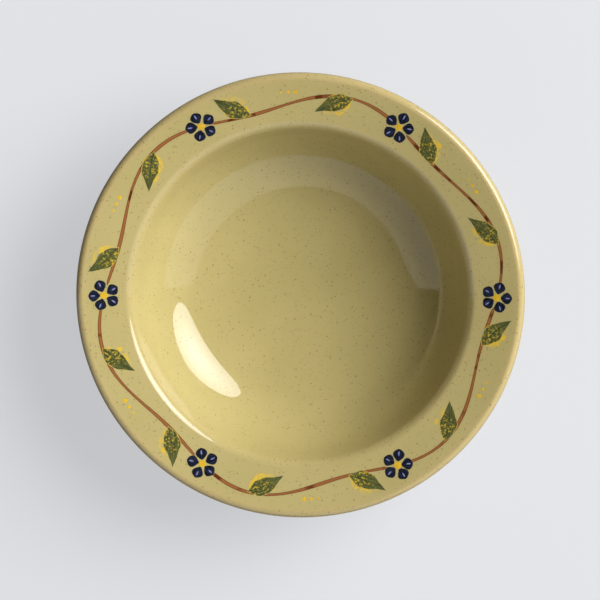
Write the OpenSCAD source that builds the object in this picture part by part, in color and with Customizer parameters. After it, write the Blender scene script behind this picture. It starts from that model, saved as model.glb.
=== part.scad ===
// Rimmed soup bowl: a stoneware body under three glaze coats, with a painted garland on the rim.
// The bowl stands on the table at z = 0 and opens upwards, and its axis is Z. Lengths are in millimetres.

/* [Rim] */
// Diameter over the lip
rim_d = 230; // [222:1:270]
// Rise of the rim from the well out to the lip, in degrees
rim_slope = 12.5; // [4:0.5:22]
// Thickness of the rim
rim_t = 5.8; // [4.5:0.1:8]
// Radius of the rolled upper edge of the lip
lip_r = 3.1; // [2:0.1:4.2]

/* [Well] */
// Diameter of the well's mouth, where the lines of the rim and the wall meet
mouth_d = 173.6; // [150:0.2:182]
// Depth of the well, from its mouth to the middle of its floor
well_depth = 43.2; // [36:0.1:52]
// Radius of the hollow curve of the floor's flatter middle
dish_r = 340; // [240:5:600]
// Radius of the floor's curve further out
dish_edge_r = 148; // [110:2:220]
// Diameter of the floor's flatter middle, as a share of the foot ring's
dish_share = 0.67; // [0.4:0.01:0.7]
// Radius of the bend from the floor to the wall
bend_r = 37; // [20:1:40]
// Steepness of the wall, in degrees
wall_angle = 71.5; // [64:0.5:82]
// Radius of the rounded shoulder between the wall and the rim
shoulder_r = 6; // [2:0.5:8]
// Thickness of the wall
wall_t = 5; // [3.5:0.1:7]
// Thickness of the floor inside the foot ring
floor_t = 5; // [4:0.1:9]
// Radius of the hollow under the rim, outside the wall
under_rim_r = 9; // [3:0.5:14]

/* [Foot] */
// Outside diameter of the foot ring, as a share of the diameter of the well's mouth
foot_share = 0.53; // [0.46:0.01:0.6]
// Width of the foot ring
foot_w = 7; // [5:0.5:12]
// Height of the hollow inside the foot ring, at its middle
foot_hollow_h = 3; // [2:0.1:8]
// Radius of the rounded edges that the foot ring stands on
foot_edge_r = 1.2; // [0.5:0.1:1.5]
// Radius of the hollow corners beside the foot ring
foot_fillet_r = 1.5; // [0.5:0.1:1.8]

/* [Glaze] */
// Thickness of the fired glaze
glaze_t = 0.4; // [0.2:0.05:0.8]
// Height above the table at which the glaze ends on the sides of the foot ring
bare_h = 2; // [1.5:0.1:2.5]

/* [Painted garland] */
// Times the garland repeats around the rim
repeats = 6; // [4:1:6]
// Thickness of one layer of paint
paint_t = 0.2; // [0.1:0.05:0.4]
// Clearance between a layer of paint and what it lies on
paint_gap = 0.1; // [0.05:0.01:0.15]
// Width of the stem's stroke
stem_w = 1.4; // [0.8:0.1:2.5]
// Height of the stem's wave to each side
stem_wave = 4.5; // [2:0.5:6]
// Length of a leaf
leaf_l = 19; // [14:0.5:20]
// Width of a leaf
leaf_w = 8; // [5:0.5:10]
// Turn of a leaf away from the stem's direction, in degrees
leaf_turn = 38; // [25:1:42]
// Width of the line along the middle of a leaf
vein_w = 0.7; // [0.4:0.1:1.2]
// Distance that the yellow under a leaf shows beside it
underpaint_shift = 1.6; // [0.8:0.1:2.5]
// Petals of a flower
petals = 5; // [4:1:6]
// Diameter of a flower
flower_d = 16; // [12:0.5:17]
// Width of a petal
petal_w = 5.4; // [4:0.1:5.8]
// Diameter of a flower's centre
centre_d = 4.2; // [3:0.1:5]
// Width of the pale dab on a petal
highlight_w = 1.1; // [0.6:0.1:1.6]
// Dots in a row beside the stem
dots = 3; // [2:1:4]
// Diameter of the first dot, the largest
dot_d = 2.4; // [1.5:0.1:3]
// Diameter of the last dot, the smallest
last_dot_d = 1.4; // [0.8:0.1:2]
// Distance between the dots of a row
dot_pitch = 3.8; // [3:0.1:5]

/* [Hidden] */
$fn = 180;

// Degrees between the points of a rounded stretch, and their distance where that is less
arc_step = 4;
arc_pitch = 5;
// Points along one side of a leaf and of a petal
leaf_points = 12;
petal_points = 10;
// Points along one wave of the stem
wave_points = 24;
// Gap between a petal and the flower's centre
petal_gap = 0.3;
// How far a leaf's widest place lies towards its stem: none at 0
leaf_lean = 0.15;
// How far a petal's widest place lies towards its tip: none at 1
petal_lean = 1.25;
// How blunt a petal's ends are: pointed at 1, square at 0
petal_bluntness = 0.7;
// Shares of a leaf's length where the line along its middle starts and ends
vein_from = 0.12;
vein_to = 0.8;
// Share of a petal's length where its pale dab lies
dab_at = 0.6;
// Share of a repeat where the row of dots starts
dots_from = 0.52;
// Height of the prisms that cut the garland out of a layer of paint
cut_h = 200;

// Sizes that follow from those above
rim_r = rim_d / 2;
foot_r = foot_share * mouth_d / 2;
foot_in_r = foot_r - foot_w;
floor_z = foot_hollow_h + floor_t;
mouth = [mouth_d / 2, floor_z + well_depth];
// The rolled edge leaves room in the rim's thickness for a rounding under it that is thicker than its glaze
least_under_r = 2 * glaze_t;
lip_top_r = min(lip_r, (rim_t - least_under_r * (1 - sin(rim_slope))) / (1 + sin(rim_slope)));
lip_under_r = (rim_t - lip_top_r * (1 + sin(rim_slope))) / (1 - sin(rim_slope));

// Point at distance a beyond the line of the wall and b below the line of the rim
function from_mouth(a, b) = mouth + [a * cos(rim_slope) - b * cos(wall_angle),
                                     a * sin(rim_slope) - b * sin(wall_angle)] / sin(wall_angle - rim_slope);
// Height at radius r of a line at distance b below the line of the rim
function rim_line_z(r, b) = mouth.y + ((r - mouth.x) * sin(rim_slope) - b) / cos(rim_slope);

// Distance along v from a point p to the circle of radius r about the origin that p lies in
function distance_to_circle(p, v, r) = sqrt(pow(p * v, 2) - p * p + r * r) - p * v;

// Centres of the section's rounded stretches, as radius and height. The floor's curves meet at dish_to, an
// angle about both their centres. The bend touches the wall's line and, from within, the floor's outer curve.
dish_c = [0, floor_z + dish_r];
dish_to = asin(dish_share * foot_r / dish_r) - 90;
dish_edge_c = dish_c + (dish_r - dish_edge_r) * [cos(dish_to), sin(dish_to)];
down_wall = -[cos(wall_angle), sin(wall_angle)];
beside_wall = mouth + bend_r * [-sin(wall_angle), cos(wall_angle)];
bend_c = beside_wall
    + down_wall * distance_to_circle(beside_wall - dish_edge_c, down_wall, dish_edge_r - bend_r);
shoulder_c = from_mouth(shoulder_r, shoulder_r);
lip_top_c = [rim_r - lip_top_r, rim_line_z(rim_r - lip_top_r, lip_top_r)];
lip_under_c = [rim_r - lip_under_r, lip_top_c.y];
under_rim_c = from_mouth(wall_t + under_rim_r, rim_t + under_rim_r);

// Centre at radius x of a hollow corner under a curve that lies t below the floor's outer curve
function corner_under(x, t) =
    [x, dish_edge_c.y - sqrt(pow(dish_edge_r + t + foot_fillet_r, 2) - pow(x - dish_edge_c.x, 2))];
foot_fillet_c = corner_under(foot_r + foot_fillet_r, wall_t);
base_corner_c = corner_under(foot_in_r - foot_fillet_r, floor_t);

// Points of an arc about c from angle a0 to angle a1
function arc(c, r, a0, a1) =
    let (n = max(2, ceil(abs(a1 - a0) / arc_step), ceil(abs(a1 - a0) * r * PI / 180 / arc_pitch)))
    [for (i = [0:n]) c + r * [cos(a0 + (a1 - a0) * i / n), sin(a0 + (a1 - a0) * i / n)]];
function backwards(points) = [for (i = [len(points) - 1:-1:0]) points[i]];
function without_first(points) = [for (i = [1:len(points) - 1]) points[i]];
function angle_of(v) = atan2(v.y, v.x);
// Angle about both centres at which the floor's outer curve runs into the bend
bend_from = angle_of(bend_c - dish_edge_c);

// The section's lines at depth d below the finished surface: straight stretches join the arcs, and arcs that
// touch share a point.
// Top line, from the middle of the floor up the wall and over the rim to the outermost point of the lip
function top_line(d) = concat(
    arc(dish_c, dish_r + d, -90, dish_to),
    without_first(arc(dish_edge_c, dish_edge_r + d, dish_to, bend_from)),
    without_first(arc(bend_c, bend_r + d, bend_from, wall_angle - 90)),
    arc(shoulder_c, shoulder_r - d, 90 + wall_angle, 90 + rim_slope),
    arc(lip_top_c, lip_top_r - d, 90 + rim_slope, 0));
// Outer line, from the lip under the rim and down the wall to the side of the foot ring
function outer_line(d) = concat(
    arc(lip_under_c, lip_under_r - d, 0, rim_slope - 90),
    arc(under_rim_c, under_rim_r + d, 90 + rim_slope, 90 + wall_angle),
    arc(bend_c, bend_r + wall_t - d, wall_angle - 90, bend_from),
    without_first(arc(dish_edge_c, dish_edge_r + wall_t - d,
                      bend_from, angle_of(foot_fillet_c - dish_edge_c))),
    without_first(arc(foot_fillet_c, foot_fillet_r + d, angle_of(dish_edge_c - foot_fillet_c), 180)));
// Base line, from the inner side of the foot ring to the middle of the underside
function base_line(d) = concat(
    arc(base_corner_c, foot_fillet_r + d, 0, angle_of(dish_edge_c - base_corner_c)),
    without_first(arc(dish_edge_c, dish_edge_r + floor_t - d,
                      angle_of(base_corner_c - dish_edge_c), dish_to)),
    without_first(arc(dish_c, dish_r + floor_t - d, dish_to, -90)));
// Standing line of the bare foot ring, from its outer side to its inner side
function standing_line() = concat(
    arc([foot_r - glaze_t - foot_edge_r, foot_edge_r], foot_edge_r, 0, -90),
    arc([foot_in_r + glaze_t + foot_edge_r, foot_edge_r], foot_edge_r, -90, -180));

module turned(points) {
    rotate_extrude() polygon(points);
}

// A coat of glaze between a finished line and the clay under it
module coat(finished, clay) {
    turned(concat(finished, backwards(clay)));
}

module clay_body() {
    color("#b79a72") turned(concat(top_line(glaze_t), without_first(outer_line(glaze_t)),
                                   standing_line(), base_line(glaze_t)));
}

module inner_glaze() {
    color("#bdb170") coat(top_line(0), top_line(glaze_t));
}

module outer_glaze() {
    color("#b8ac6c") coat(concat(outer_line(0), [[foot_r, bare_h]]),
                          concat(outer_line(glaze_t), [[foot_r - glaze_t, bare_h]]));
}

module base_glaze() {
    color("#b4a868") coat(concat([[foot_in_r, bare_h]], base_line(0)),
                          concat([[foot_in_r + glaze_t, bare_h]], base_line(glaze_t)));
}

// The garland lies on the straight stretch of the rim, between the shoulder and the roll of the lip
band_in_r = shoulder_c.x - shoulder_r * sin(rim_slope);
band_out_r = lip_top_c.x - lip_top_r * sin(rim_slope);
stem_r = (band_in_r + band_out_r) / 2;
repeat_angle = 360 / repeats;
flower_r = flower_d / 2;
petal_in_r = centre_d / 2 + petal_gap;

// A layer of paint on the rim, cut to its strokes' outlines: layer 0 lies on the glaze, layer 1 on layer 0
module paint(layer) {
    low = -paint_gap - layer * (paint_t + paint_gap);
    high = low - paint_t;
    intersection() {
        turned([[band_in_r, rim_line_z(band_in_r, low)], [band_out_r, rim_line_z(band_out_r, low)],
                [band_out_r, rim_line_z(band_out_r, high)], [band_in_r, rim_line_z(band_in_r, high)]]);
        children();
    }
}

// A stroke's outline, raised into a prism
module stroke() {
    linear_extrude(cut_h) children();
}

function stem_at(a) = stem_r + stem_wave * sin(repeats * a);
// Half the width of a leaf and of a petal at the share t of its length
function leaf_half(t) = leaf_w / 2 * (sin(180 * t) + leaf_lean * sin(360 * t));
function petal_half(t) = petal_w / 2 * pow(sin(180 * pow(t, petal_lean)), petal_bluntness);
// Closed outline of a shape that runs along x from x0, l long, with half width h[i] at its point i
function outline(x0, l, h) = let (n = len(h) - 1)
    concat([for (i = [0:n]) [x0 + l * i / n, h[i]]], [for (i = [n - 1:-1:1]) [x0 + l * i / n, -h[i]]]);
leaf_outline = outline(0, leaf_l, [for (i = [0:leaf_points]) leaf_half(i / leaf_points)]);
petal_outline = outline(petal_in_r, flower_r - petal_in_r,
                        [for (i = [0:petal_points]) petal_half(i / petal_points)]);

// One child at each repeat of the garland
module around() {
    for (i = [0:repeats - 1]) rotate(i * repeat_angle) children();
}

// A child on each leaf: one grows inwards from the wave's outer crest, and its mirror image grows outwards
// from the inner crest. A leaf's +Y side faces away from the stem.
module on_leaves() {
    around() for (side = [0, 1]) {
        a = repeat_angle * (1 + 2 * side) / 4;
        rotate(a) translate([stem_at(a), 0]) mirror([side, 0]) rotate(90 + leaf_turn) children();
    }
}

// A child on each flower, at the points where the stem crosses its own middle
module on_flowers() {
    around() translate([stem_r, 0]) children();
}

module leaf_prisms() {
    stroke() on_leaves() polygon(leaf_outline);
}

module petal_prisms() {
    stroke() on_flowers() for (i = [0:petals - 1]) rotate(i * 360 / petals) polygon(petal_outline);
}

module centre_prisms() {
    stroke() on_flowers() circle(d = centre_d);
}

module stem_prism() {
    turn = [for (i = [0:repeats * wave_points - 1]) 360 * i / (repeats * wave_points)];
    difference() {
        stroke() polygon([for (a = turn) (stem_at(a) + stem_w / 2) * [cos(a), sin(a)]]);
        stroke() polygon([for (a = turn) (stem_at(a) - stem_w / 2) * [cos(a), sin(a)]]);
    }
}

module painted_leaves() {
    color("#5f6a2e") paint(0) leaf_prisms();
}

// The line along each leaf stops short of the leaf's tip
module leaf_veins() {
    start = vein_from * leaf_l;
    color("#3d4220") paint(1) stroke() on_leaves()
        polygon([[start, -vein_w / 2], [vein_to * leaf_l, 0], [start, vein_w / 2]]);
}

// The yellow under a leaf shows as a crescent along one of its sides, clear of the stem and the flowers
module leaf_underpaint() {
    color("#d9b233") paint(0) difference() {
        stroke() on_leaves() translate([0, underpaint_shift]) polygon(leaf_outline);
        leaf_prisms();
        stem_prism();
        petal_prisms();
    }
}

module flower_petals() {
    color("#22263a") paint(0) petal_prisms();
}

module petal_highlights() {
    dab_r = petal_in_r + dab_at * (flower_r - petal_in_r);
    color("#7d7bb0") paint(1) stroke() on_flowers() for (i = [0:petals - 1])
        rotate(i * 360 / petals) translate([dab_r, 0]) circle(d = highlight_w);
}

module flower_centres() {
    color("#d9b233") paint(0) centre_prisms();
}

// The stem is broken where leaves and flowers are painted over it
module painted_stem() {
    color("#8a5527") paint(0) difference() {
        stem_prism();
        leaf_prisms();
        petal_prisms();
        centre_prisms();
    }
}

// A row of dots, each smaller than the one before, on the open side of the stem between the two leaves
module seed_dots() {
    row_r = stem_r + stem_wave;
    pitch_a = 2 * asin(dot_pitch / 2 / row_r);
    first_a = dots_from * repeat_angle;
    shrink = (dot_d - last_dot_d) / (dots - 1);
    color("#d9b233") paint(0) stroke() around() for (i = [0:dots - 1])
        rotate(first_a + i * pitch_a) translate([row_r, 0]) circle(d = dot_d - i * shrink);
}

clay_body();
inner_glaze();
outer_glaze();
base_glaze();
painted_stem();
painted_leaves();
leaf_veins();
leaf_underpaint();
flower_petals();
petal_highlights();
flower_centres();
seed_dots();
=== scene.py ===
# %% [markdown]
# # A rimmed soup bowl
# A deep stoneware bowl with a wide rim, dipped in a pale olive glaze and painted by hand with a garland. The packed
# model gives the frame: every surface below lies where its node lies, in metres, with the bowl's axis along Z and
# its foot on the table at z = 0.

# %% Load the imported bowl
import math

import bpy
import numpy as np
from mathutils import Matrix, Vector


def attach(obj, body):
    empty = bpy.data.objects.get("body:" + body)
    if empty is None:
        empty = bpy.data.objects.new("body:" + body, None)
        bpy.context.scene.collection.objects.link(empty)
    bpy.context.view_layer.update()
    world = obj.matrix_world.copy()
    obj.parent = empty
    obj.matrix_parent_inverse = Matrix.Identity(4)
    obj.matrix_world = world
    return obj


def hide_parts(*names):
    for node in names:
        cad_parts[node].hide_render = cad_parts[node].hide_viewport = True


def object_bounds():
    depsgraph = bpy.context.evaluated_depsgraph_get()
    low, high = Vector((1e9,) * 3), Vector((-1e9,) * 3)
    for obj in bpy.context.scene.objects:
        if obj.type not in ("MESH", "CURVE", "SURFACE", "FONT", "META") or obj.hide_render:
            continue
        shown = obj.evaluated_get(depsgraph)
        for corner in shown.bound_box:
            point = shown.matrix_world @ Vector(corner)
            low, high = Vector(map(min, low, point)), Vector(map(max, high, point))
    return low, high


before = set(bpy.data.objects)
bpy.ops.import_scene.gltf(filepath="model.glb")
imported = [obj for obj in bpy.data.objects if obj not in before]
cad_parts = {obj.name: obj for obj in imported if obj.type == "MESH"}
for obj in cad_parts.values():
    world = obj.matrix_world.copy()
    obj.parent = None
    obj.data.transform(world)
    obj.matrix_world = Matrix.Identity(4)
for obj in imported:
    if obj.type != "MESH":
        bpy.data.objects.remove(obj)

MM = 0.001
scene = bpy.context.scene
scene.view_settings.view_transform = "Standard"
cad_box = [list(corner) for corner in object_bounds()]
print("bowl's box in metres:", cad_box, "nodes:", sorted(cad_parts))

# %% [markdown]
# ## The camera
# A plate photographed face on is best seen through a long lens from about two metres away, which keeps its circles
# round. The camera looks down into the bowl, leaning a few degrees to the top and to the right of the picture. Its
# lens follows from how much of the picture the rim fills.

# %% Camera
rim_r = cad_box[1][0] - 0.01 * MM
lip_z = 53.6 * MM
lean_to_top, lean_to_right = np.radians([7.8, 2.7])
camera_distance = 2.1
rim_share_of_picture = 449 / 600
rim_above_middle = 3.6 / 600
sensor_width = 36.0


def stand(holder, x_axis, z_axis, place):
    """Puts an object at a place with its x and z axes along two directions at right angles."""
    rows = np.column_stack([x_axis, np.cross(z_axis, x_axis), z_axis, place])
    holder.matrix_world = Matrix(np.vstack([rows, [0, 0, 0, 1]]).tolist())
    scene.collection.objects.link(holder)


picture_width = 2 * rim_r / rim_share_of_picture
camera_data = bpy.data.cameras.new("camera")
camera_data.sensor_width = sensor_width
camera_data.lens = sensor_width * camera_distance / picture_width
camera_data.clip_end = 60
camera = bpy.data.objects.new("camera", camera_data)
aim = np.array([0, -rim_above_middle * picture_width, lip_z])
back = np.array([math.sin(lean_to_right), math.sin(lean_to_top), 0])
back[2] = math.sqrt(1 - back @ back)
right = np.cross([0, 1, 0], back)
stand(camera, right / np.linalg.norm(right), back, aim + camera_distance * back)
scene.camera = camera
print("lens %.1f mm, picture %.0f mm wide at the lip" % (camera_data.lens, picture_width / MM))

# %% [markdown]
# ## Words for shader nodes
# Every finish below is a small graph of nodes. Wiring each one by hand hides the idea under bookkeeping, so a few
# helpers name the steps that come back: cloudy noise, a value carried from one range to another, and a colour
# between two colours. Colours are written as a screen shows them and turned into the light values that shaders use.

# %% Node helpers
def screen_colour(red, green, blue):
    """A colour written from 0 to 255, as light: below 0.04045 a twelfth and a bit, above it nearly a power of 2.4."""
    share = np.array([red, green, blue]) / 255
    light = np.where(share <= 0.04045, share / 12.92, ((share + 0.055) / 1.055) ** 2.4)
    return (*light.tolist(), 1.0)


def add_node(tree, kind, options, inputs):
    """Adds a node with its options. An input given as a socket is linked, and any other is set as its value."""
    made = tree.nodes.new("ShaderNode" + kind)
    for name, value in options.items():
        setattr(made, name, value)
    for name, value in inputs.items():
        if isinstance(value, bpy.types.NodeSocket):
            tree.links.new(value, made.inputs[name])
        else:
            made.inputs[name].default_value = value
    return made


def clouds(tree, where, size, detail=3.0, roughness=0.55):
    """Noise from 0 to 1 whose clouds are about this size across."""
    inputs = {"Vector": where, "Scale": 1 / size, "Detail": detail, "Roughness": roughness}
    return add_node(tree, "TexNoise", {}, inputs).outputs["Fac"]


def carried(tree, value, low, high, start=0.0, end=1.0):
    """The value carried from the range low to high onto start to end, eased and held at both ends."""
    inputs = {"Value": value, "From Min": low, "From Max": high, "To Min": start, "To Max": end}
    return add_node(tree, "MapRange", {"interpolation_type": "SMOOTHSTEP"}, inputs).outputs["Result"]


def between(tree, share, first, second):
    """The colour that goes from first to second as the share goes from 0 to 1."""
    return add_node(tree, "Mix", {"data_type": "RGBA"}, {0: share, 6: first, 7: second}).outputs[2]


def worked_out(tree, operation, first, second):
    """Two numbers put together by a plain operation, such as MULTIPLY or ADD."""
    return add_node(tree, "Math", {"operation": operation}, {0: first, 1: second}).outputs["Value"]


print("an olive glaze as light:", screen_colour(188, 172, 110))

# %% [markdown]
# ## Meshes from whole arrays
# A mesh is only points and faces, and numpy can work out all of them at once. A grid of points that closes on itself
# one way, with a single point at each end of the other way, covers every shape here: the bowl's skins run from pole
# to pole around the axis, and a brush stroke runs from tip to tip around its own middle line.

# %% Grids that close on themselves
def grid_faces(rows, columns, first_point):
    """Faces of a closed grid: four corners between neighbouring rows, three corners at the pole before the first row
    and at the pole after the last. The points are numbered pole, rows in turn, pole, from first_point on."""
    row, column = np.meshgrid(np.arange(rows), np.arange(columns), indexing="ij")
    here = first_point + 1 + row * columns + column
    beside = first_point + 1 + row * columns + (column + 1) % columns
    quads = np.stack([here[:-1], here[1:], beside[1:], beside[:-1]], axis=-1).reshape(-1, 4)
    start = np.full(columns, first_point)
    end = np.full(columns, first_point + 1 + rows * columns)
    caps = np.vstack([np.column_stack([start, here[0], beside[0]]), np.column_stack([here[-1], end, beside[-1]])])
    return quads, caps


def new_piece(name, points, quads, caps):
    """A mesh object at the origin from whole arrays, with the volume that its faces enclose in cubic millimetres."""
    mesh = bpy.data.meshes.new(name)
    mesh.from_pydata(points, [], quads.tolist() + caps.tolist(), shade_flat=False)
    piece = bpy.data.objects.new(name, mesh)
    scene.collection.objects.link(piece)
    halves = np.vstack([quads[:, [0, 1, 2]], quads[:, [0, 2, 3]], caps])
    a, b, c = (points[halves[:, corner]] for corner in range(3))
    volume = np.einsum("ij,ij->i", a, np.cross(b, c)).sum() / 6
    print(name, "has", len(halves), "triangles and holds %.1f mm3" % (volume / MM**3))
    return piece


def give_values(piece, name, values):
    """Stores one number or three per point, which a material reads by name."""
    kind, field = ("FLOAT_VECTOR", "vector") if values.shape[-1] == 3 else ("FLOAT", "value")
    layer = piece.data.attributes.new(name, kind, "POINT")
    layer.data.foreach_set(field, values.astype(np.float32).ravel())


# %% [markdown]
# ## Table and room
# A glossy glaze shows the room as well as its own colour. The bowl was lit by one large softbox up to the right, and
# a white table fills the side towards the viewer's feet, which the far wall mirrors as a pale band. The room can be
# modelled with cards, or painted on the world as a function of direction. The world is the plainer way: every ray that
# leaves the scene towards the table finds it pale, and every other ray finds a dim room. The band's ends and its inner
# edge tell how far the table reaches: a direction lies on the table where its product with the normal of the far edge
# is small, and where it leans enough to the viewer's side. The table is paler near the bowl. Where the glaze mirrors
# it, it is palest on the lamp's side.

# %% World
table_light = (0.15, 1.0)
table_mirrored = (0.9, 1.0)
room_light = 0.01
far_edge_normal = (-0.04, -0.11, 1)
far_edge = 0.9
near_bowl = 0.2
side_edge = 0.12
rounding = 0.3
across_table = 0.4
edge_fade = (0.001, 0.002)
backdrop = screen_colour(237, 238, 242)

world = bpy.data.worlds.new("studio")
world.use_nodes = True
scene.world = world
tree = world.node_tree
tree.nodes.clear()
direction = add_node(tree, "TexCoord", {}, {}).outputs["Generated"]
axes = add_node(tree, "SeparateXYZ", {}, {"Vector": direction}).outputs
far = add_node(tree, "VectorMath", {"operation": "DOT_PRODUCT"}, {0: direction, 1: far_edge_normal}).outputs["Value"]
inwards = worked_out(tree, "MULTIPLY", carried(tree, far, far_edge, far_edge - rounding),
                     carried(tree, axes["Y"], -side_edge, -side_edge - rounding))
is_table = carried(tree, inwards, *edge_fade)
path = add_node(tree, "LightPath", {}, {})
table = between(tree, path.outputs["Is Glossy Ray"], carried(tree, far, far_edge, near_bowl, *table_light),
                carried(tree, axes["X"], -across_table, across_table, *table_mirrored))
room = between(tree, is_table, (room_light,) * 3 + (1,), table)
seen = between(tree, path.outputs["Is Camera Ray"], room, backdrop)
background = add_node(tree, "Background", {}, {"Color": seen})
add_node(tree, "OutputWorld", {}, {"Surface": background.outputs["Background"]})
print("world: table at", table_light, "and room at", room_light)

# %% [markdown]
# ## Floor
# The floor is a wide disc. Close to the bowl it is a lit, nearly white surface that takes the soft shadow, which the
# pale walls of a studio would brighten from all sides. Here the camera sees a share of the even backdrop in its place.
# Further out the lamp fades, and the backdrop takes over, as a studio sweep does. For light that bounces, the floor is
# darker than the camera sees it, so that it doesn't brighten the rim from below.

# %% Floor
floor_radius = 8.0
lit_radius = 0.45
backdrop_radius = 1.4
backdrop_share = 0.6
paper_bounced = screen_colour(130, 131, 134)
paper_seen = screen_colour(206, 207, 210)

floor_columns = 96
turn = np.linspace(0, 2 * np.pi, floor_columns, endpoint=False)
floor_rings = np.array([0.15, lit_radius, backdrop_radius, floor_radius])
floor_points = np.stack([np.outer(floor_rings, np.cos(turn)), np.outer(floor_rings, np.sin(turn)),
                         np.zeros((len(floor_rings), floor_columns))], axis=-1).reshape(-1, 3)
floor_points = np.vstack([[0, 0, 0], floor_points])
floor_quads, floor_caps = grid_faces(len(floor_rings), floor_columns, 0)
floor = new_piece("floor", floor_points, floor_quads, floor_caps[:floor_columns])

floor_finish = bpy.data.materials.new("pale_floor")
floor_finish.use_nodes = True
tree = floor_finish.node_tree
tree.nodes.clear()
place = add_node(tree, "TexCoord", {}, {}).outputs["Object"]
from_middle = add_node(tree, "VectorMath", {"operation": "LENGTH"}, {0: place}).outputs["Value"]
pale_share = carried(tree, from_middle, lit_radius, backdrop_radius, backdrop_share, 1.0)
is_camera = add_node(tree, "LightPath", {}, {}).outputs["Is Camera Ray"]
paper = between(tree, is_camera, paper_bounced, paper_seen)
lit = add_node(tree, "BsdfPrincipled", {}, {"Base Color": paper, "Roughness": 0.7})
pale = add_node(tree, "Emission", {}, {"Color": backdrop, "Strength": 1.0})
seen = add_node(tree, "MixShader", {}, {0: worked_out(tree, "MULTIPLY", pale_share, is_camera),
                                        1: lit.outputs["BSDF"], 2: pale.outputs["Emission"]})
add_node(tree, "OutputMaterial", {}, {"Surface": seen.outputs["Shader"]})
floor.data.materials.append(floor_finish)

# %% [markdown]
# ## Softbox
# The oval highlight low on the left of the well is the mirror image of a round softbox, so its place tells where the
# lamp stands: the glaze leans by half the angle of what it mirrors. A real softbox is brightest in its middle, where
# its bulb is. A lamp can have nodes too: here the distance from the panel's middle sets how bright it shines.

# %% Lamp
def softbox(name, azimuth, polar, distance, radius, edge, middle):
    """A round lamp that faces the bowl from an azimuth and an angle off the vertical, both in degrees. A flat panel
    of radiance 1 gives off its area times pi, and the nodes raise that to the edge's and the middle's."""
    lamp = bpy.data.lights.new(name, "AREA")
    lamp.shape = "DISK"
    lamp.size = 2 * radius
    lamp.energy = math.pi * radius**2 * math.pi
    lamp.use_nodes = True
    tree = lamp.node_tree
    tree.nodes.clear()
    on_panel = add_node(tree, "NewGeometry", {}, {}).outputs["Parametric"]
    from_middle = add_node(tree, "VectorMath", {"operation": "DISTANCE"}, {0: on_panel, 1: (0.5, 0.5, 0)})
    from_middle = from_middle.outputs["Value"]
    glow = add_node(tree, "Emission", {}, {"Strength": carried(tree, from_middle, 0.5, 0.0, edge, middle)})
    add_node(tree, "OutputLight", {}, {"Surface": glow.outputs["Emission"]})
    a, p = np.radians([azimuth, polar])
    towards = np.array([np.sin(p) * np.cos(a), np.sin(p) * np.sin(a), np.cos(p)])
    place = distance * towards + np.array([0, 0, 0.5 * lip_z])
    holder = bpy.data.objects.new(name, lamp)
    holder.visible_camera = False
    stand(holder, np.array([-np.sin(a), np.cos(a), 0]), towards, place)
    print(name, "stands at", place.round(2), "with a power of %.1f W" % lamp.energy)


softbox("key", azimuth=28, polar=54, distance=4.5, radius=1.98, edge=7.5, middle=13.4)

# %% [markdown]
# ## The bowl's section
# A thrown bowl is a line turned about an axis. The line is all arcs, which touch each other or the straight stretches
# between them: the hollow floor, the bend, the wall, the shoulder, the rim and the rolled lip, and back under the rim
# and down the wall to the foot. Moving each arc's radius by a depth gives the line of the clay under the glaze, so one
# set of centres serves both skins.

# %% Sizes
rim_slope = 12.5
wall_angle = 71.5
mouth = np.array([86.8, 51.2]) * MM
floor_z = 8.0 * MM
dish_r = 340.0 * MM
dish_edge_r = 148.0 * MM
bend_r = 37.0 * MM
shoulder_r = 6.0 * MM
lip_top_r = 3.1 * MM
under_rim_r = 9.0 * MM
rim_t = 5.8 * MM
wall_t = 5.0 * MM
floor_t = 5.0 * MM
foot_r = 0.53 * mouth[0]
foot_in_r = foot_r - 7.0 * MM
dish_reach = 0.67 * foot_r
foot_edge_r = 1.2 * MM
foot_fillet_r = 1.5 * MM
glaze_t = 0.4 * MM
bare_h = 2.0 * MM

rim_sin, rim_cos = math.sin(math.radians(rim_slope)), math.cos(math.radians(rim_slope))
wall_sin, wall_cos = math.sin(math.radians(wall_angle)), math.cos(math.radians(wall_angle))


# %% Centres of the arcs
def from_mouth(outwards, below):
    """The point at these distances beyond the line of the wall and below the line of the rim."""
    along_rim, along_wall = np.array([rim_cos, rim_sin]), np.array([wall_cos, wall_sin])
    return mouth + (outwards * along_rim - below * along_wall) / math.sin(math.radians(wall_angle - rim_slope))


def rim_height(radius, above=0.0):
    """Height of the rim's upper face at a radius, or of a face this far above it."""
    return mouth[1] + ((radius - mouth[0]) * rim_sin + above) / rim_cos


def corner_under(radius, thickness):
    """Centre at a radius of a hollow corner that touches the floor's outer curve, moved down by a thickness."""
    reach = dish_edge_r + thickness + foot_fillet_r
    return np.array([radius, dish_edge_c[1] - math.sqrt(reach**2 - (radius - dish_edge_c[0]) ** 2)])


def angle_of(way):
    """Angle of a direction in the section, in degrees."""
    return math.degrees(math.atan2(way[1], way[0]))


dish_c = np.array([0, floor_z + dish_r])
dish_lean = math.asin(dish_reach / dish_r)
dish_to = math.degrees(dish_lean) - 90
dish_edge_c = dish_c + (dish_r - dish_edge_r) * np.array([math.sin(dish_lean), -math.cos(dish_lean)])
down_wall = -np.array([wall_cos, wall_sin])
beside_wall = mouth + bend_r * np.array([-wall_sin, wall_cos])
start = beside_wall - dish_edge_c
ahead = start @ down_wall
bend_c = beside_wall + down_wall * (math.sqrt(ahead**2 - start @ start + (dish_edge_r - bend_r) ** 2) - ahead)
bend_from = angle_of(bend_c - dish_edge_c)
shoulder_c = from_mouth(shoulder_r, shoulder_r)
lip_under_r = (rim_t - lip_top_r * (1 + rim_sin)) / (1 - rim_sin)
lip_top_c = np.array([rim_r - lip_top_r, rim_height(rim_r - lip_top_r, -lip_top_r)])
lip_under_c = np.array([rim_r - lip_under_r, lip_top_c[1]])
under_rim_c = from_mouth(wall_t + under_rim_r, rim_t + under_rim_r)
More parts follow.
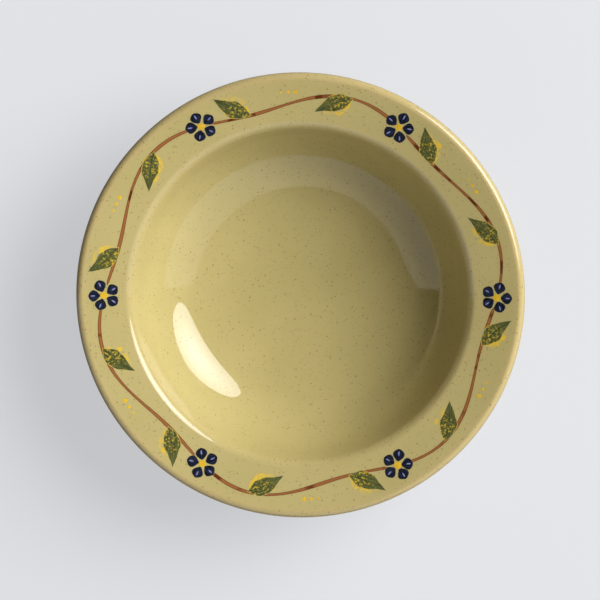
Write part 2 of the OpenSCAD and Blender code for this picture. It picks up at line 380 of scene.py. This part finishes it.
fillet_c = corner_under(foot_r + foot_fillet_r, wall_t)
corner_c = corner_under(foot_in_r - foot_fillet_r, floor_t)
bend_start = bend_c + bend_r * np.array([math.cos(math.radians(bend_from)), math.sin(math.radians(bend_from))])
print("the floor runs into the bend at radius and height", (bend_start / MM).round(1), "mm")


# %% Lines of the section
def arc(centre, radius, start, end, step):
    """Points centre + radius (cos a, sin a), with a from start to end in degrees, no further apart than the step."""
    count = max(3, math.ceil(abs(radius * math.radians(end - start)) / step))
    a = np.radians(np.linspace(start, end, count + 1))
    return centre + radius * np.column_stack([np.cos(a), np.sin(a)])


def joined(stretches, step):
    """Stretches end to end, with points along the straight gap between two of them no further apart than the step."""
    line = [stretches[0]]
    for stretch in stretches[1:]:
        start, end = line[-1][-1], stretch[0]
        count = max(1, math.ceil(np.linalg.norm(end - start) / step))
        share = np.linspace(0, 1, count + 1)[1:-1, None]
        line += [start + share * (end - start), stretch] if count > 1 else [stretch]
    points = np.vstack(line)
    apart = np.linalg.norm(np.diff(points, axis=0), axis=1) > 1e-3 * MM
    return points[np.concatenate([[True], apart])]


def top_stretches(depth, step, fine):
    """From the middle of the floor over the rim to the outermost point of the lip, at a depth in the glaze."""
    return [arc(dish_c, dish_r + depth, -90, dish_to, step),
            arc(dish_edge_c, dish_edge_r + depth, dish_to, bend_from, step),
            arc(bend_c, bend_r + depth, bend_from, wall_angle - 90, step),
            arc(shoulder_c, shoulder_r - depth, 90 + wall_angle, 90 + rim_slope, fine),
            arc(lip_top_c, lip_top_r - depth, 90 + rim_slope, 0, fine)]


def outer_stretches(depth, step, fine):
    """From the outermost point of the lip under the rim and down the wall to the side of the foot ring."""
    return [arc(lip_under_c, lip_under_r - depth, 0, rim_slope - 90, fine),
            arc(under_rim_c, under_rim_r + depth, 90 + rim_slope, 90 + wall_angle, step),
            arc(bend_c, bend_r + wall_t - depth, wall_angle - 90, bend_from, step),
            arc(dish_edge_c, dish_edge_r + wall_t - depth, bend_from, angle_of(fillet_c - dish_edge_c), step),
            arc(fillet_c, foot_fillet_r + depth, angle_of(dish_edge_c - fillet_c), 180, fine)]


def base_stretches(depth, step, fine):
    """From the inner side of the foot ring to the middle of the underside."""
    return [arc(corner_c, foot_fillet_r + depth, 0, angle_of(dish_edge_c - corner_c), fine),
            arc(dish_edge_c, dish_edge_r + floor_t - depth, angle_of(corner_c - dish_edge_c), dish_to, step),
            arc(dish_c, dish_r + floor_t - depth, dish_to, -90, step)]


finished_line = joined(top_stretches(0, 1.1 * MM, 0.35 * MM) + outer_stretches(0, 1.1 * MM, 0.35 * MM), 1.1 * MM)
print("finished line:", len(finished_line), "points, up to %.2f mm high" % (finished_line[:, 1].max() / MM))


# %% [markdown]
# ## Turning a line into a skin
# A lathe piece is the section's line carried round the axis. To keep the hand of the potter, each point may be pushed
# along the line's own normal: a slow spiral, as the fingers leave it while the wheel turns, so slight that it shows
# only in reflections and in a raking light.

# %% Lathe
lathe_columns = 256
ring_depth_in, ring_depth_out = 0.004 * MM, 0.035 * MM
ring_pitch_in, ring_pitch_out = 5.5 * MM, 6.5 * MM


def lathe(name, line, push=None, lift=None):
    """Carries a line (r, z) round Z: at angle a it goes to (r cos a, r sin a, z), after a push along the normal that
    lies to the left of the line's direction, and a lift. Both ends of the line lie on the axis and become poles."""
    a = np.linspace(0, 2 * np.pi, lathe_columns, endpoint=False)
    along = np.gradient(line, axis=0)
    normal = np.column_stack([-along[:, 1], along[:, 0]]) / np.linalg.norm(along, axis=1)[:, None]
    still = np.zeros((len(line), lathe_columns))
    shift = push(line, a) if push else still
    r = line[:, :1] + normal[:, :1] * shift
    z = line[:, 1:] + normal[:, 1:] * shift + (lift(line, a) if lift else still)
    points = np.stack([r * np.cos(a), r * np.sin(a), z], axis=-1)
    points = np.vstack([[0, 0, line[0, 1]], points[1:-1].reshape(-1, 3), [0, 0, line[-1, 1]]])
    return new_piece(name, points, *grid_faces(len(line) - 2, lathe_columns, 0))


def length_along(line):
    """Distance along the line from its start to each point."""
    return np.concatenate([[0], np.cumsum(np.linalg.norm(np.diff(line, axis=0), axis=1))])


def throwing_rings(line, a):
    """A spiral along the line's length s: depth sin(2 pi s / pitch + a), where the depth is zero near the axis and on
    the rim, slight inside the well and stronger outside."""
    s = length_along(line)
    lip_s = s[np.argmax(line[:, 0])]
    inside = np.clip((line[:, 0] - 10 * MM) / (25 * MM), 0, 1) * np.clip((80 * MM - line[:, 0]) / (6 * MM), 0, 1)
    outside = np.clip((s - lip_s - 24 * MM) / (8 * MM), 0, 1) * np.clip((line[:, 0] - 50 * MM) / (4 * MM), 0, 1)
    depth = np.where(s < lip_s, ring_depth_in * inside, ring_depth_out * outside)
    pitch = np.where(s < lip_s, ring_pitch_in, ring_pitch_out)
    return depth[:, None] * np.sin(2 * np.pi * (s / pitch)[:, None] + a)


# %% [markdown]
# ## Glaze over the rim
# The bowl was dipped, so one unbroken coat runs from the middle of the floor over the lip to just above the foot.
# The frame has it as two nodes that meet at the lip. Here one skin stands for both, which leaves no seam where the
# light catches the roll. It ends in a rounded bead that wavers a little, where the sponge wiped the foot clean.

# %% Glaze coat
waver_reach = 2.5 * MM
bead_z = bare_h + glaze_t / 2
glaze_bead = arc([foot_r - glaze_t / 2, bead_z], glaze_t / 2, 0, -180, 0.1 * MM)
clay_side = joined(top_stretches(glaze_t, 4 * MM, 1.2 * MM) + outer_stretches(glaze_t, 4 * MM, 1.2 * MM), 5 * MM)
coat_line = joined([finished_line, glaze_bead, clay_side[::-1]], 0.4 * MM)


def coat_push(line, a):
    """The throwing rings on the finished part of the line, and none on the part that lies against the clay."""
    rings = throwing_rings(line, a)
    rings[len(finished_line):] = 0
    return rings


def wiped_edge(line, a):
    """How far the end of the glaze is raised: a sum of sines of the angle in millimetres, fading out above the end."""
    waver = 0.35 + 0.16 * np.sin(3 * a + 1) + 0.11 * np.sin(7 * a) + 0.08 * np.sin(16 * a + 2)
    fade = np.clip(1 - (line[:, 1] - bare_h) / waver_reach, 0, 1)
    return fade[:, None] * waver * MM


glaze_coat = lathe("glaze_coat", coat_line, coat_push, wiped_edge)
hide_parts("inner_glaze", "outer_glaze")


# %% Where the glaze is thin
lip_worn_reach = 5.5 * MM
shoulder_worn_reach = shoulder_r + 3 * MM
shoulder_worn = 0.7


def worn(line, centre, reach):
    """1 on the line at the crest of a rounding, falling to 0 at this distance from it."""
    return np.clip(1 - np.linalg.norm(line - centre, axis=1) / reach, 0, 1)


lip_crest = lip_top_c + lip_top_r * np.array([0.5, 0.866])
thin = np.maximum(worn(coat_line, lip_crest, lip_worn_reach),
                  shoulder_worn * worn(coat_line, shoulder_c, shoulder_worn_reach))
around = np.concatenate([thin[:1], np.repeat(thin[1:-1], lathe_columns), thin[-1:]])
give_values(glaze_coat, "thin", around[:, None])
print("the glaze is thin at %.0f%% of the line's points" % (100 * np.mean(thin > 0)))

# %% [markdown]
# ## Glaze under the base and the clay body
# Inside the foot ring the glaze was brushed on, and the ring itself was wiped clean so that the bowl doesn't stick to
# the kiln shelf. That bare ring is the only clay to be seen, but the whole body is made, as the coats lie on it.

# %% Base glaze and clay
base_bead = arc([foot_in_r + glaze_t / 2, bead_z], glaze_t / 2, 0, -180, 0.1 * MM)
base_line = joined(base_stretches(0, 1.5 * MM, 0.3 * MM), 1.5 * MM)
base_back = joined(base_stretches(glaze_t, 4 * MM, 0.6 * MM), 4 * MM)[::-1]
base_glaze = lathe("base_glaze", joined([base_back, base_bead, base_line], 0.4 * MM), lift=wiped_edge)
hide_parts("base_glaze")

standing_line = [arc([foot_r - glaze_t - foot_edge_r, foot_edge_r], foot_edge_r, 0, -90, 0.15 * MM),
                 arc([foot_in_r + glaze_t + foot_edge_r, foot_edge_r], foot_edge_r, -90, -180, 0.15 * MM)]
clay_body = lathe("clay_body", joined([clay_side, *standing_line, base_back[::-1]], 0.5 * MM))
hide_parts("clay_body")

# %% [markdown]
# ## Brush strokes
# The garland was painted with a loaded brush: each leaf, petal and dot is one touch that swells and tapers, and lies
# on the glaze as a thin film. A stroke is a lens-shaped profile carried along its middle line, with its half-width
# as a function of the share of the length. All strokes of one piece are worked out together as one array. Each point
# keeps its place in the stroke, so that the paint can follow the bristles and thin out towards the edge.

# %% Strokes
stroke_columns = 20
stroke_back = 0.03 * MM
full_film_half = 0.9 * MM


def strokes(name, middles, halves, base, film, tint):
    """A film for each stroke. Its middle line (x, y) carries a lens: across it runs half-width times cos b, and its
    face stands the base height and film times the fourth power of sin b above the rim's cone. Its back lies a hair
    under the cone. Heights run along the cone's normal, and each stroke closes in a point at both ends. The angle b
    falls from column to column, so that the normals look out. The film is too flat for its facets to show, whereas
    smooth shading draws a thin line around each stroke."""
    count, length = halves.shape
    b = np.linspace(0, -2 * np.pi, stroke_columns, endpoint=False)
    forwards = np.gradient(middles, axis=1)
    forwards /= np.linalg.norm(forwards, axis=-1, keepdims=True)
    aside = np.stack([-forwards[..., 1], forwards[..., 0]], axis=-1)
    across = halves[..., None] * np.cos(b)
    thick = film * np.sqrt(np.clip(halves / full_film_half, 0, 1))[..., None]
    above = np.where(np.sin(b) > -0.01, base + thick * np.sin(b) ** 4, -stroke_back)
    flat = middles[:, :, None] + aside[:, :, None] * across[..., None]
    radius = np.linalg.norm(flat, axis=-1)
    points = np.concatenate([flat * (1 - rim_sin * above / radius)[..., None],
                             (rim_height(radius) + rim_cos * above)[..., None]], axis=-1)
    rows = length - 2
    each = rows * stroke_columns + 2

    def gathered(values):
        """Values of each stroke in turn: its first point, its rows and its last point."""
        body = values[:, 1:-1].reshape(count, rows * stroke_columns, -1)
        return np.concatenate([values[:, 0, :1].reshape(count, 1, -1), body,
                               values[:, -1, :1].reshape(count, 1, -1)], axis=1).reshape(count * each, -1)

    faces = [grid_faces(rows, stroke_columns, stroke * each) for stroke in range(count)]
    piece = new_piece(name, gathered(points), *(np.vstack(kind) for kind in zip(*faces)))
    piece.data.shade_flat()
    distance = np.cumsum(np.linalg.norm(np.diff(middles, axis=1, prepend=middles[:, :1]), axis=-1), axis=1)
    brush = np.stack(np.broadcast_arrays(distance[..., None], across, tint[:, None, None]), axis=-1)
    share = np.broadcast_to(np.linspace(0, 1, length)[:, None], across.shape)
    give_values(piece, "brush", gathered(brush))
    give_values(piece, "along", gathered(share))
    give_values(piece, "inset", gathered(halves[..., None] * (1 - np.abs(np.cos(b)))))
    return piece


def placed(middles, angle, radius, turn):
    """Middle lines drawn along x, turned about their start and set at a polar angle and radius, one for each."""
    turn = turn + angle
    x = middles[..., 0] * np.cos(turn)[:, None] - middles[..., 1] * np.sin(turn)[:, None]
    y = middles[..., 0] * np.sin(turn)[:, None] + middles[..., 1] * np.cos(turn)[:, None]
    return np.stack([x + (radius * np.cos(angle))[:, None], y + (radius * np.sin(angle))[:, None]], axis=-1)


hand = np.random.default_rng(12)


# %% [markdown]
# ## The garland's stem
# A thin brown line waves around the rim, and it passes under a flower at every place where it crosses its own middle.
# The brush was lifted at each flower, so the line is six strokes that thicken and thin as the hand moves.

# %% Stem
repeats = 6
stem_w = 1.4 * MM
stem_wave = 4.5 * MM
stem_base, stem_film = 0.035 * MM, 0.02 * MM
band_in_r = shoulder_c[0] - shoulder_r * rim_sin
band_out_r = lip_top_c[0] - lip_top_r * rim_sin
stem_r = (band_in_r + band_out_r) / 2
flower_r = 8.0 * MM
repeat_angle = 2 * np.pi / repeats
first_angles = np.arange(repeats) * repeat_angle


def stem_at(angle):
    """Radius of the stem: its middle radius and a sine wave with one crest outwards and one inwards a repeat."""
    return stem_r + stem_wave * np.sin(repeats * angle)


share = np.linspace(0, 1, 70)
clear = 0.6 * flower_r / stem_r
angle = first_angles[:, None] + clear + share * (repeat_angle - 2 * clear)
stem_middles = np.stack([stem_at(angle) * np.cos(angle), stem_at(angle) * np.sin(angle)], axis=-1)
waves, shift = hand.uniform(1.5, 3, (repeats, 1)), hand.uniform(0, 1, (repeats, 1))
swell = 1.3 + 0.2 * np.sin(2 * np.pi * (share * waves + shift))
stem_halves = stem_w / 2 * swell * np.clip(np.minimum(share, 1 - share) / 0.03, 0, 1) ** 0.5
painted_stem = strokes("painted_stem", stem_middles, stem_halves, stem_base, stem_film, hand.uniform(0, 1, repeats))
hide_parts("painted_stem")

# %% [markdown]
# ## Leaves
# Two leaves a repeat: one grows inwards from the wave's outer crest, and one outwards from the inner crest. Each is a
# single press of a wide brush over a yellow one that was set down a little to the side. A finer brush then drew the
# line along its middle.

# %% Leaves
leaf_l = 22.0 * MM
leaf_w = 8.4 * MM
leaf_turn = math.radians(36)
leaf_lean = 0.2
leaf_bow = 1.0 * MM
underpaint_shift = 2.0 * MM
underpaint_wider = 1.3
vein_w = 0.7 * MM
vein_from, vein_to = 0.06, 0.86
underpaint_base, underpaint_film = 0.005 * MM, 0.025 * MM
leaf_base, leaf_film = 0.06 * MM, 0.03 * MM
vein_base, vein_film = 0.095 * MM, 0.02 * MM

leaf_angles = np.concatenate([first_angles + repeat_angle / 4, first_angles + 3 * repeat_angle / 4])
leaf_side = np.repeat([1.0, -1.0], repeats)
leaf_turns = np.pi / 2 + leaf_side * (leaf_turn + hand.uniform(-0.06, 0.06, 2 * repeats))
leaf_lengths = leaf_l * hand.uniform(0.94, 1.0, 2 * repeats)
leaf_tints = hand.uniform(0, 1, 2 * repeats)
share = np.linspace(0, 1, 40)


def leaf_middle(share, aside):
    """A bowed line along x: the bow is a half sine across, and the whole line lies a distance aside."""
    across = leaf_side[:, None] * (aside * np.sin(np.pi * share) ** 0.5 - leaf_bow * np.sin(np.pi * share))
    return np.stack([leaf_lengths[:, None] * share, across], axis=-1)


# %% Strokes of the leaves
leaf_half = leaf_w / 2 * (np.sin(np.pi * share) + leaf_lean * np.sin(2 * np.pi * share))
leaf_halves = np.tile(leaf_half, (2 * repeats, 1))
ripple = 1 + 0.05 * np.sin(2 * np.pi * (3 * share + hand.uniform(0, 1, (2 * repeats, 1))))
places = (leaf_angles, stem_at(leaf_angles), leaf_turns)
underpaint = strokes("leaf_underpaint", placed(leaf_middle(share, underpaint_shift), *places),
                     underpaint_wider * leaf_halves * ripple, underpaint_base, underpaint_film, leaf_tints)
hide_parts("leaf_underpaint")
painted_leaves = strokes("painted_leaves", placed(leaf_middle(share, 0.0), *places),
                         leaf_halves * ripple[::-1], leaf_base, leaf_film, leaf_tints)
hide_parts("painted_leaves")
vein_share = vein_from + (vein_to - vein_from) * share
vein_halves = np.tile(vein_w / 2 * (1 - share) ** 0.5 * np.clip(share / 0.05, 0, 1), (2 * repeats, 1))
leaf_veins = strokes("leaf_veins", placed(leaf_middle(vein_share, 0.0), *places), vein_halves,
                     vein_base, vein_film, leaf_tints)
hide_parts("leaf_veins")

# %% [markdown]
# ## Flowers and seeds
# Five navy touches around a yellow dot make a flower, and each petal has a pale lilac dab near its tip. Three yellow
# seeds of falling size lie on the open side of the stem. A dot is a stroke too, whose half-width is a half circle.

# %% Flowers
petals = 5
petal_w = 6.2 * MM
petal_in_r = 1.7 * MM
centre_d = 4.2 * MM
highlight_w = 1.1 * MM
dab_at = 0.6
petal_base, petal_film = 0.06 * MM, 0.03 * MM
dab_base, dab_film = 0.095 * MM, 0.02 * MM

flower_angles = np.repeat(first_angles, petals)
petal_turns = np.tile(np.arange(petals) * 2 * np.pi / petals, repeats) + hand.uniform(-0.07, 0.07, repeats * petals)
petal_tints = hand.uniform(0, 1, repeats * petals)
petal_tips = flower_r * hand.uniform(0.98, 1.05, repeats * petals)
share = np.linspace(0, 1, 28)
at_flower = (flower_angles, np.full(repeats * petals, stem_r), petal_turns)


def straight(start, end):
    """A line along x from start to end, one for each pair."""
    x = np.asarray(start)[:, None] + (np.asarray(end) - np.asarray(start))[:, None] * share
    return np.stack([x, np.zeros_like(x)], axis=-1)


petal_half = petal_w / 2 * np.sin(np.pi * share**1.25) ** 0.7
petal_middles = placed(straight(np.full(repeats * petals, petal_in_r), petal_tips), *at_flower)
flower_petals = strokes("flower_petals", petal_middles, np.tile(petal_half, (repeats * petals, 1)),
                        petal_base, petal_film, petal_tints)
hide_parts("flower_petals")
dab_start = petal_in_r + (dab_at - 0.2) * (petal_tips - petal_in_r)
dab_end = petal_in_r + (dab_at + 0.25) * (petal_tips - petal_in_r)
dab_half = highlight_w / 2 * np.sin(np.pi * share) ** 0.6
petal_highlights = strokes("petal_highlights", placed(straight(dab_start, dab_end), *at_flower),
                           np.tile(dab_half, (repeats * petals, 1)), dab_base, dab_film, petal_tints)
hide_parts("petal_highlights")


# %% Centres and seeds
centre_base, seed_base, dot_film = 0.1 * MM, 0.005 * MM, 0.05 * MM
seed_sizes = np.array([2.4, 1.9, 1.4]) * MM
seed_pitch = 3.8 * MM
first_seed_at = 0.52


def dots(name, angles, radius, diameters, base):
    """Round touches: lines as long as they are wide, with the half-width of a circle."""
    lines = straight(-diameters / 2, diameters / 2)
    circle = np.sqrt(np.clip(1 - (2 * share - 1) ** 2, 0, None))
    spots = placed(lines, angles, np.full(len(angles), radius), hand.uniform(0, np.pi, len(angles)))
    return strokes(name, spots, diameters[:, None] / 2 * circle, base, dot_film, hand.uniform(0, 1, len(angles)))


flower_centres = dots("flower_centres", first_angles, stem_r, centre_d * hand.uniform(0.92, 1, repeats), centre_base)
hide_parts("flower_centres")
row_r = stem_r + stem_wave
seed_turns = first_seed_at * repeat_angle + np.arange(len(seed_sizes)) * 2 * np.arcsin(seed_pitch / 2 / row_r)
seed_angles = (first_angles[:, None] + seed_turns).ravel()
seed_dots = dots("seed_dots", seed_angles, row_r, np.tile(seed_sizes, repeats), seed_base)
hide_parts("seed_dots")

# %% [markdown]
# ## The olive glaze
# The glaze is a glossy, slightly milky olive. Iron in the clay comes through as brown specks, a few large and many
# small, and where the glaze runs thin over the lip and the shoulder the warm clay shows through. Specks are cells of
# a Voronoi pattern: the distance to a cell's middle is small only in a dot, and a random number per cell leaves about
# half of the cells empty. All of it reads Object coordinates, so it stays on the bowl from every side.

# %% Glaze finish
def specks(tree, where, pitch, size, share_of_cells):
    """Round dots of up to this size, one in each cell of this pitch, kept in a share of the cells: 1 in a dot."""
    cells = add_node(tree, "TexVoronoi", {}, {"Vector": where, "Scale": 1 / pitch})
    split = add_node(tree, "SeparateColor", {}, {"Color": cells.outputs["Color"]})
    kept = worked_out(tree, "LESS_THAN", split.outputs["Red"], share_of_cells)
    dot = carried(tree, cells.outputs["Distance"], 0.5 * size / pitch, 0.25 * size / pitch)
    return worked_out(tree, "MULTIPLY", dot, kept)


def glaze_colour(tree, where):
    """The olive of the glaze: slow clouds between two olives, tan where it is thin, and specks of brown."""
    cloudy = between(tree, carried(tree, clouds(tree, where, 45 * MM), 0.3, 0.7),
                     screen_colour(180, 166, 109), screen_colour(186, 171, 114))
    thin = add_node(tree, "Attribute", {"attribute_name": "thin"}, {}).outputs["Fac"]
    broken = worked_out(tree, "MULTIPLY", thin, carried(tree, clouds(tree, where, 7 * MM), 0.25, 0.75, 0.35, 0.8))
    toned = between(tree, broken, cloudy, screen_colour(194, 170, 119))
    small = worked_out(tree, "MULTIPLY", specks(tree, where, 1.5 * MM, 0.75 * MM, 0.5), 0.5)
    large = worked_out(tree, "MULTIPLY", specks(tree, where, 2.7 * MM, 1.0 * MM, 0.55), 0.55)
    dusted = between(tree, small, toned, screen_colour(128, 102, 56))
    return between(tree, large, dusted, screen_colour(104, 80, 42))


def new_finish(name):
    """An empty node material and its tree."""
    finish = bpy.data.materials.new(name)
    finish.use_nodes = True
    finish.node_tree.nodes.clear()
    return finish, finish.node_tree


def glossy(tree, where, colour):
    """Ends a graph as fired glaze: a glossy skin that slow clouds ripple a little."""
    ripple = clouds(tree, where, 14 * MM, detail=1)
    bump = add_node(tree, "Bump", {}, {"Strength": 1.0, "Distance": 0.02 * MM, "Height": ripple}).outputs["Normal"]
    rough = carried(tree, clouds(tree, where, 9 * MM), 0.3, 0.7, 0.03, 0.06)
    skin = add_node(tree, "BsdfPrincipled", {}, {
        "Base Color": colour, "Roughness": rough, "IOR": 1.5, "Normal": bump})
    add_node(tree, "OutputMaterial", {}, {"Surface": skin.outputs["BSDF"]})


olive_glaze, tree = new_finish("olive_glaze")
where = add_node(tree, "TexCoord", {}, {}).outputs["Object"]
glossy(tree, where, glaze_colour(tree, where))
for piece in (glaze_coat, base_glaze):
    piece.data.materials.append(olive_glaze)
print("glaze:", len(tree.nodes), "nodes")

# %% [markdown]
# ## Bare clay
# The foot ring is fired stoneware without glaze: tan, matt, and scored by the turning tool in fine circles. A wave
# on the distance from the axis draws those circles.

# %% Clay finish
bare_clay, tree = new_finish("bare_clay")
where = add_node(tree, "TexCoord", {}, {}).outputs["Object"]
sanded = clouds(tree, where, 0.5 * MM, detail=4)
tone = between(tree, clouds(tree, where, 6 * MM), screen_colour(196, 166, 124), screen_colour(168, 136, 98))
gritty = between(tree, specks(tree, where, 1.3 * MM, 0.5 * MM, 0.4), tone, screen_colour(110, 82, 54))
circles = add_node(tree, "TexWave", {"wave_type": "RINGS", "rings_direction": "Z"},
                   {"Vector": where, "Scale": 1 / (2.5 * MM), "Distortion": 1.5, "Detail": 2.0})
height = worked_out(tree, "ADD", sanded, circles.outputs["Fac"])
bump = add_node(tree, "Bump", {}, {"Strength": 0.6, "Distance": 0.06 * MM, "Height": height}).outputs["Normal"]
rough = carried(tree, sanded, 0.3, 0.7, 0.75, 0.92)
skin = add_node(tree, "BsdfPrincipled", {}, {"Base Color": gritty, "Roughness": rough, "Normal": bump})
add_node(tree, "OutputMaterial", {}, {"Surface": skin.outputs["BSDF"]})
clay_body.data.materials.append(bare_clay)
print("clay:", len(tree.nodes), "nodes")

# %% [markdown]
# ## Paints
# Painted colours under a clear gloss are never even. A line is pale along its middle and dark at its edges, where the
# water dried last, with a dark blot where the brush rested. A leaf pressed with a half-dry brush breaks up into
# flecks and lets the yellow under it through, and only its tip is solid. Each paint below is a recipe for its colour,
# and all share one way to end at a ragged edge: the cover falls with the inset from the stroke's edge, which noise
# makes uneven, and beyond it lies the colour of what the stroke was painted on.

# %% Paint helpers
def bristles(tree, stroke):
    """Streaks from 0 to 1 along the stroke: noise that is drawn out along it and fine across it."""
    drawn_out = add_node(tree, "VectorMath", {"operation": "MULTIPLY"},
                         {0: stroke["brush"], 1: (1 / (7 * MM), 1 / (0.45 * MM), 31)}).outputs["Vector"]
    return clouds(tree, drawn_out, 1.0, detail=2)


def bare_glaze(tree, stroke):
    """What most strokes were painted on."""
    return glaze_colour(tree, stroke["where"])


def paint(name, recipe, ragged, soft, under=bare_glaze):
    """A paint from a recipe for its colour and for what lies under it. Its edge wanders by ragged and fades over soft,
    both in metres."""
    finish, tree = new_finish(name)
    stroke = {"where": add_node(tree, "TexCoord", {}, {}).outputs["Object"]}
    for kept, output in (("brush", "Vector"), ("along", "Fac"), ("inset", "Fac")):
        stroke[kept] = add_node(tree, "Attribute", {"attribute_name": kept}, {}).outputs[output]
    wander = worked_out(tree, "MULTIPLY", clouds(tree, stroke["where"], 1.1 * MM), ragged)
    depth = worked_out(tree, "SUBTRACT", stroke["inset"], wander)
    cover = carried(tree, depth, -0.35 * ragged, -0.35 * ragged + soft)
    glossy(tree, stroke["where"], between(tree, cover, under(tree, stroke), recipe(tree, stroke)))
    print(name, "has", len(tree.nodes), "nodes")
    return finish


def streaked(first, second):
    """A recipe: two colours that take turns along the bristles."""
    def recipe(tree, stroke):
        return between(tree, carried(tree, bristles(tree, stroke), 0.35, 0.65), screen_colour(*first),
                       screen_colour(*second))
    return recipe


# %% Recipes
def line_recipe(tree, stroke):
    """Brown that is paler along the middle of the line, with dark blots a few millimetres long."""
    middle = carried(tree, stroke["inset"], 0.2 * MM, 0.65 * MM)
    wash = between(tree, middle, screen_colour(116, 66, 34), screen_colour(152, 98, 58))
    slow = add_node(tree, "VectorMath", {"operation": "MULTIPLY"},
                    {0: stroke["brush"], 1: (1 / (9 * MM), 0, 53)}).outputs["Vector"]
    blot = carried(tree, clouds(tree, slow, 1.0, detail=1), 0.56, 0.66)
    return between(tree, blot, wash, screen_colour(98, 47, 21))


def dry_yellow(tree, stroke):
    """Thin yellow from a nearly dry brush, broken by clouds and fading towards the tip, with the glaze between."""
    patchy = carried(tree, clouds(tree, stroke["where"], 4.0 * MM, detail=4, roughness=0.7), 0.38, 0.6)
    wash = worked_out(tree, "MULTIPLY", patchy, carried(tree, stroke["along"], 0.95, 0.5))
    return between(tree, wash, glaze_colour(tree, stroke["where"]), screen_colour(224, 186, 52))


def leaf_recipe(tree, stroke):
    """Streaky grey green, broken towards the stalk by flecks through which the yellow shows."""
    green = between(tree, carried(tree, bristles(tree, stroke), 0.35, 0.65), screen_colour(62, 68, 38),
                    screen_colour(96, 101, 60))
    flecks = carried(tree, clouds(tree, stroke["where"], 1.3 * MM, detail=2, roughness=0.65), 0.5, 0.66)
    shown = worked_out(tree, "MULTIPLY", flecks, carried(tree, stroke["along"], 0.85, 0.35))
    return between(tree, shown, green, screen_colour(190, 164, 56))


navy_touch = streaked((18, 20, 29), (36, 43, 60))
brown = paint("brown_paint", line_recipe, 0.2 * MM, 0.12 * MM)
green = paint("green_paint", leaf_recipe, 0.7 * MM, 0.25 * MM, dry_yellow)
dark_green = paint("dark_green_paint", streaked((50, 54, 30), (68, 72, 40)), 0.25 * MM, 0.2 * MM, leaf_recipe)
yellow = paint("yellow_wash", dry_yellow, 2.2 * MM, 1.4 * MM)
seed_yellow = paint("yellow_paint", streaked((224, 186, 56), (208, 164, 44)), 0.25 * MM, 0.2 * MM)
navy = paint("navy_paint", navy_touch, 0.25 * MM, 0.15 * MM)
lilac = paint("lilac_paint", streaked((118, 116, 172), (148, 146, 196)), 0.3 * MM, 0.3 * MM, navy_touch)

# %% Paint on the strokes
for piece, finish, slot in ((painted_stem, brown, "brown_paint"), (painted_leaves, green, "green_paint"),
                            (leaf_veins, dark_green, "dark_green_paint"), (underpaint, yellow, "yellow_paint"),
                            (flower_petals, navy, "navy_paint"), (petal_highlights, lilac, "lilac_paint"),
                            (flower_centres, seed_yellow, "yellow_paint"), (seed_dots, seed_yellow, "yellow_paint")):
    piece.data.materials.append(finish)
    print(piece.name, "is finished in", finish.name)

# %% [markdown]
# ## Finish
# Nothing on a bowl moves, so every piece rides on its one body.

# %% Finish
for piece in (glaze_coat, base_glaze, clay_body, painted_stem, painted_leaves, leaf_veins, underpaint, flower_petals,
              petal_highlights, flower_centres, seed_dots):
    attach(piece, "root")
